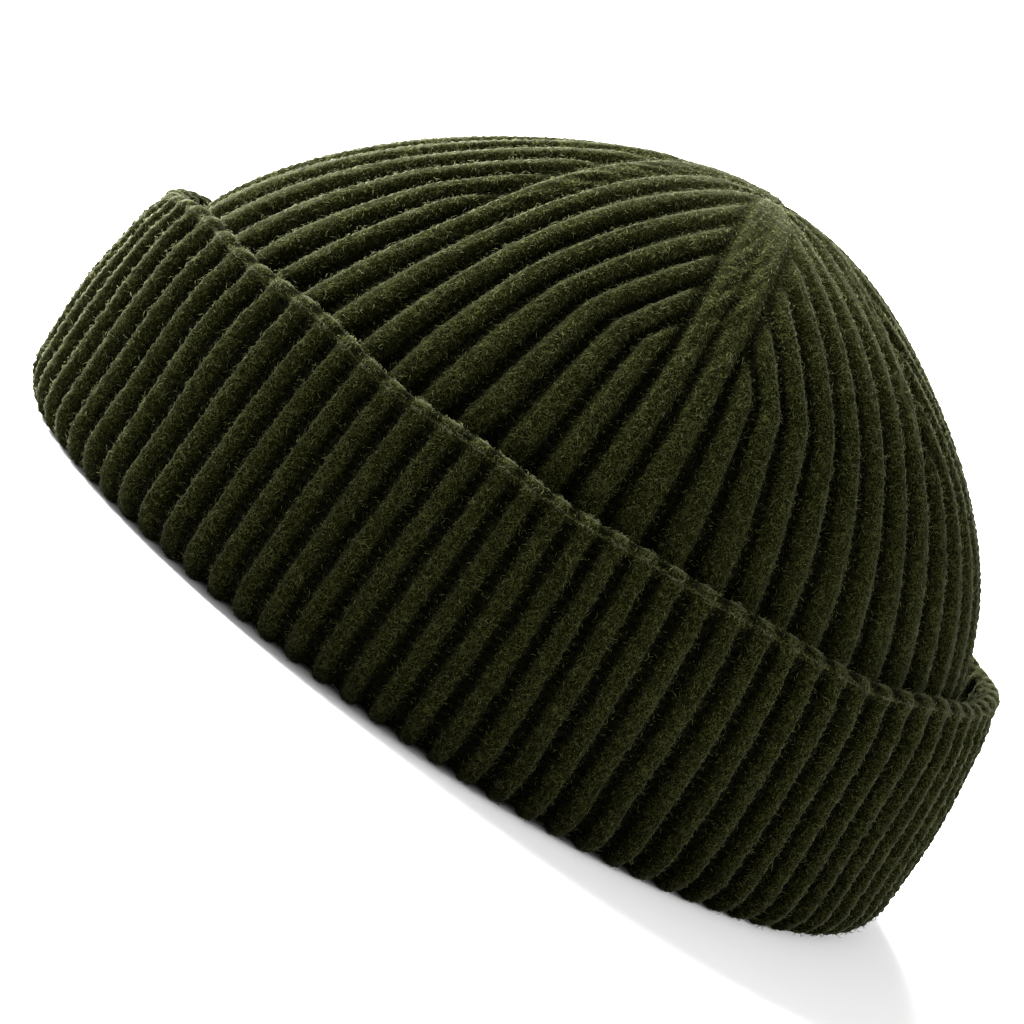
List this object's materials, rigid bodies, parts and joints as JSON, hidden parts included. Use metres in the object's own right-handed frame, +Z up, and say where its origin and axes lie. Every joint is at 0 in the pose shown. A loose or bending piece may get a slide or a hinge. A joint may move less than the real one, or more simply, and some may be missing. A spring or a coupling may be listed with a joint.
{
  "type": "fisherman beanie",
  "caption": "Thick ribbed knit cap in dark olive wool with a close dome and a deep turned-up cuff, shown in its worn form and resting on its hem fold.",
  "frame": {"origin": "centre of the cuff's outline on the surface that the hem fold rests on", "axes": "+Z up through the dome, +Y towards the back of the head along the hat's length, +X to the wearer's left, which is the side the picture shows"},
  "size_m": [0.1846, 0.2217, 0.1222],
  "materials": {
    "wool_knit": "brushed dark olive rib knit, matt and slightly hairy"
  },
  "bodies": {
    "root": {"crown": "wool_knit", "cuff": "wool_knit"}
  },
  "joints": []
}
